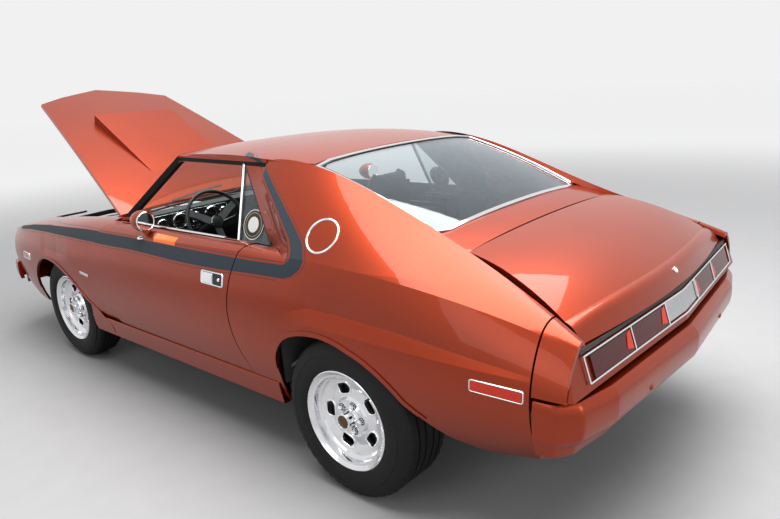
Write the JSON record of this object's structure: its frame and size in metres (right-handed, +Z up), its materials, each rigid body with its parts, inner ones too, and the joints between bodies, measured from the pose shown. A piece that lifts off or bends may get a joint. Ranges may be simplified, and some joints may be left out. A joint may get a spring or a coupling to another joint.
{
  "type": "drag racing car",
  "caption": "Fastback coupe for the drag strip with raised scooped bonnet, opening doors and boot lid, steered front wheels and slotted alloy wheels.",
  "frame": {"origin": "on the ground under the middle of the length and width", "axes": "+X to the car's left, +Y to the rear, +Z up"},
  "size_m": [1.8196, 4.5472, 1.6435],
  "materials": {
    "body_paint": "gloss metallic",
    "black_steel": "satin",
    "engine_iron": "satin",
    "radiator_alloy": "matte",
    "dark_plastic": "matte",
    "black_vinyl": "satin",
    "exhaust_steel": "satin",
    "window_glass": "clear",
    "lamp_glass": "clear",
    "red_lens": "gloss",
    "polished_alloy": "polished",
    "tyre_rubber": "matte"
  },
  "bodies": {
    "chassis": {"floor_pan": "body_paint", "firewall": "body_paint", "front_structure": "black_steel", "radiator": "radiator_alloy", "engine": "engine_iron", "front_suspension": "black_steel", "fender_left": "body_paint", "fender_right": "body_paint", "nose_panel": "body_paint", "grille": "dark_plastic", "headlamps": "lamp_glass", "front_bumper": "body_paint", "quarter_left": "body_paint", "quarter_right": "body_paint", "roof": "body_paint", "windshield": "window_glass", "rear_window": "window_glass", "quarter_glass": "window_glass", "deck_panel": "body_paint", "tail_panel": "body_paint", "tail_lamps": "red_lens", "rear_bumper": "body_paint", "dashboard": "dark_plastic", "steering_wheel": "dark_plastic", "seats": "black_vinyl", "console": "dark_plastic", "rear_axle": "black_steel", "fuel_tank": "black_steel", "exhaust": "exhaust_steel"},
    "bonnet": {"hood": "body_paint"},
    "boot_lid": {"trunk_lid": "body_paint"},
    "left_door": {"door_left": "body_paint", "mirror_left": "body_paint"},
    "right_door": {"door_right": "body_paint", "mirror_right": "body_paint"},
    "left_knuckle": {"knuckle_left": "black_steel"},
    "right_knuckle": {"knuckle_right": "black_steel"},
    "front_left_wheel": {"wheel_front_left": "polished_alloy", "tyre_front_left": "tyre_rubber"},
    "front_right_wheel": {"wheel_front_right": "polished_alloy", "tyre_front_right": "tyre_rubber"},
    "rear_left_wheel": {"wheel_rear_left": "polished_alloy", "tyre_rear_left": "tyre_rubber"},
    "rear_right_wheel": {"wheel_rear_right": "polished_alloy", "tyre_rear_right": "tyre_rubber"}
  },
  "joints": [
    {"name": "bonnet_hinge", "type": "hinge", "parent": "chassis", "child": "bonnet", "pos_m": [0, -0.641, 0.935], "axis": [-1, 0, 0], "range_deg": [-32.6, 0]},
    {"name": "boot_hinge", "type": "hinge", "parent": "chassis", "child": "boot_lid", "pos_m": [0, 1.59, 1.002], "axis": [1, 0, 0], "range_deg": [0, 60]},
    {"name": "left_door_hinge", "type": "hinge", "parent": "chassis", "child": "left_door", "pos_m": [0.89, -0.77, 0.61], "axis": [0, 0, -1], "range_deg": [0, 65]},
    {"name": "right_door_hinge", "type": "hinge", "parent": "chassis", "child": "right_door", "pos_m": [-0.89, -0.77, 0.61], "axis": [0, 0, 1], "range_deg": [0, 65]},
    {"name": "left_steering", "type": "hinge", "parent": "chassis", "child": "left_knuckle", "pos_m": [0.682, -1.2235, 0.322], "axis": [0, 0, 1], "range_deg": [-30, 30]},
    {"name": "right_steering", "type": "hinge", "parent": "chassis", "child": "right_knuckle", "pos_m": [-0.682, -1.2235, 0.322], "axis": [0, 0, 1], "range_deg": [-30, 30]},
    {"name": "front_left_spin", "type": "hinge", "parent": "left_knuckle", "child": "front_left_wheel", "pos_m": [0.74, -1.2235, 0.322], "axis": [1, 0, 0], "continuous": true},
    {"name": "front_right_spin", "type": "hinge", "parent": "right_knuckle", "child": "front_right_wheel", "pos_m": [-0.74, -1.2235, 0.322], "axis": [1, 0, 0], "continuous": true},
    {"name": "rear_left_spin", "type": "hinge", "parent": "chassis", "child": "rear_left_wheel", "pos_m": [0.772, 1.2405, 0.33], "axis": [1, 0, 0], "continuous": true},
    {"name": "rear_right_spin", "type": "hinge", "parent": "chassis", "child": "rear_right_wheel", "pos_m": [-0.772, 1.2405, 0.33], "axis": [1, 0, 0], "continuous": true}
  ],
  "couplings": [
    {"joint": "right_steering", "follows": "left_steering", "ratio": 1}
  ]
}
